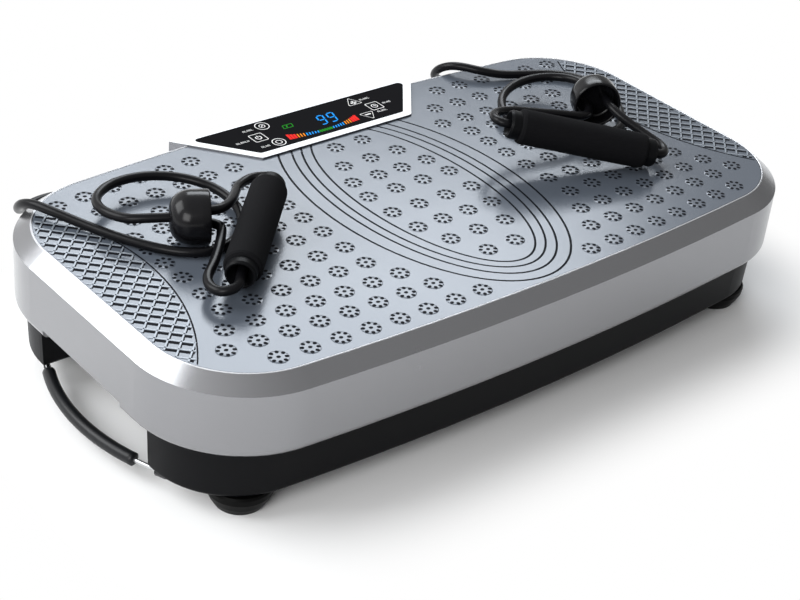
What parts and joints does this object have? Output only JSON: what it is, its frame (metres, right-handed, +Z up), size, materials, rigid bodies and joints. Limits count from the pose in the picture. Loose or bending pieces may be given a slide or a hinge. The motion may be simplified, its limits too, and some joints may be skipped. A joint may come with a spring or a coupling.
{
  "type": "vibration plate",
  "caption": "Low rocking vibration plate with a silver shell, dotted grey mat, black display panel, end carry handles and two corded resistance bands with foam grips.",
  "frame": {"origin": "On the floor, in the middle of the plan, under the platform's centre.", "axes": "+X along the length of the plate, toward the right-hand handle; +Y toward the side with the display panel; +Z up."},
  "size_m": [0.6706, 0.3715, 0.1842],
  "materials": {
    "silver_plastic": "metallic silver paint effect, satin",
    "mat_rubber": "light blue-grey, satin",
    "gloss_black": "gloss",
    "black_plastic": "fine matt grain",
    "foot_rubber": "semi-gloss",
    "grip_rubber": "satin tube",
    "band_rubber": "satin latex cord",
    "belt_rubber": "matt",
    "foam": "matt closed-cell foam",
    "bright_steel": "ground steel",
    "zinc_steel": "zinc plated",
    "painted_steel": "black powder coat",
    "cast_alloy": "as cast",
    "aluminium": "extruded",
    "circuit_board": "green solder mask",
    "bronze": "sintered bronze",
    "brass": "plated contacts"
  },
  "bodies": {
    "base": {"lower_housing": "black_plastic", "foot_front_left": "foot_rubber", "foot_front_right": "foot_rubber", "foot_rear_left": "foot_rubber", "foot_rear_right": "foot_rubber", "foot_screws": "zinc_steel", "pivot_stand_front": "painted_steel", "pivot_stand_rear": "painted_steel", "pivot_shaft": "bright_steel", "crank_pedestal_left": "cast_alloy", "crank_pedestal_right": "cast_alloy", "crank_bearings": "bright_steel", "drive_belt": "belt_rubber", "motor": "painted_steel", "motor_saddle": "cast_alloy", "power_board": "circuit_board", "board_components": "black_plastic", "heat_sink": "aluminium", "inlet_socket": "black_plastic", "inlet_pins": "brass", "switch_frame": "black_plastic", "fuse_holder": "black_plastic", "handle_wire_left": "bright_steel", "handle_wire_right": "bright_steel", "handle_grip_left": "grip_rubber", "handle_grip_right": "grip_rubber", "handle_clamps": "zinc_steel"},
    "platform": {"top_shell": "silver_plastic", "mat": "mat_rubber", "console_window": "gloss_black", "display_board": "circuit_board", "deck_plate": "painted_steel", "pivot_lug_front": "painted_steel", "pivot_lug_rear": "painted_steel", "pivot_bushes": "bronze", "rod_lug_left": "painted_steel", "rod_lug_right": "painted_steel", "rod_pins": "bright_steel", "band_tab_left": "zinc_steel", "band_tab_right": "zinc_steel", "band_hook_left": "zinc_steel", "band_hook_right": "zinc_steel", "band_left": "band_rubber", "band_right": "band_rubber", "loop_left": "band_rubber", "loop_right": "band_rubber", "stopper_left": "gloss_black", "stopper_right": "gloss_black", "foam_grip_left": "foam", "foam_grip_right": "foam", "grip_core_left": "black_plastic", "grip_core_right": "black_plastic"},
    "crank": {"crankshaft": "bright_steel", "rod_bearings": "bright_steel", "crank_pulley": "cast_alloy"},
    "rotor": {"motor_shaft": "bright_steel", "motor_pulley": "cast_alloy"},
    "rod_left_link": {"rod_left": "cast_alloy"},
    "rod_right_link": {"rod_right": "cast_alloy"},
    "power_rocker": {"switch_rocker": "gloss_black"}
  },
  "joints": [
    {"name": "platform_rock", "type": "hinge", "parent": "base", "child": "platform", "pos_m": [0, 0, 0.084], "axis": [0, 1, 0], "range_deg": [-1.2, 1.2]},
    {"name": "crank_spin", "type": "hinge", "parent": "base", "child": "crank", "pos_m": [0, 0, 0.056], "axis": [1, 0, 0], "continuous": true},
    {"name": "motor_spin", "type": "hinge", "parent": "base", "child": "rotor", "pos_m": [0.03, -0.078, 0.058], "axis": [1, 0, 0], "continuous": true},
    {"name": "rod_left_swing", "type": "hinge", "parent": "platform", "child": "rod_left_link", "pos_m": [-0.094, 0, 0.106], "axis": [1, 0, 0], "range_deg": [-2, 2]},
    {"name": "rod_right_swing", "type": "hinge", "parent": "platform", "child": "rod_right_link", "pos_m": [0.094, 0, 0.106], "axis": [1, 0, 0], "range_deg": [-2, 2]},
    {"name": "power_switch", "type": "hinge", "parent": "base", "child": "power_rocker", "pos_m": [-0.018, 0.166, 0.042], "axis": [1, 0, 0], "range_deg": [0, 12]}
  ],
  "couplings": [
    {"joint": "motor_spin", "follows": "crank_spin", "ratio": 2.53}
  ]
}
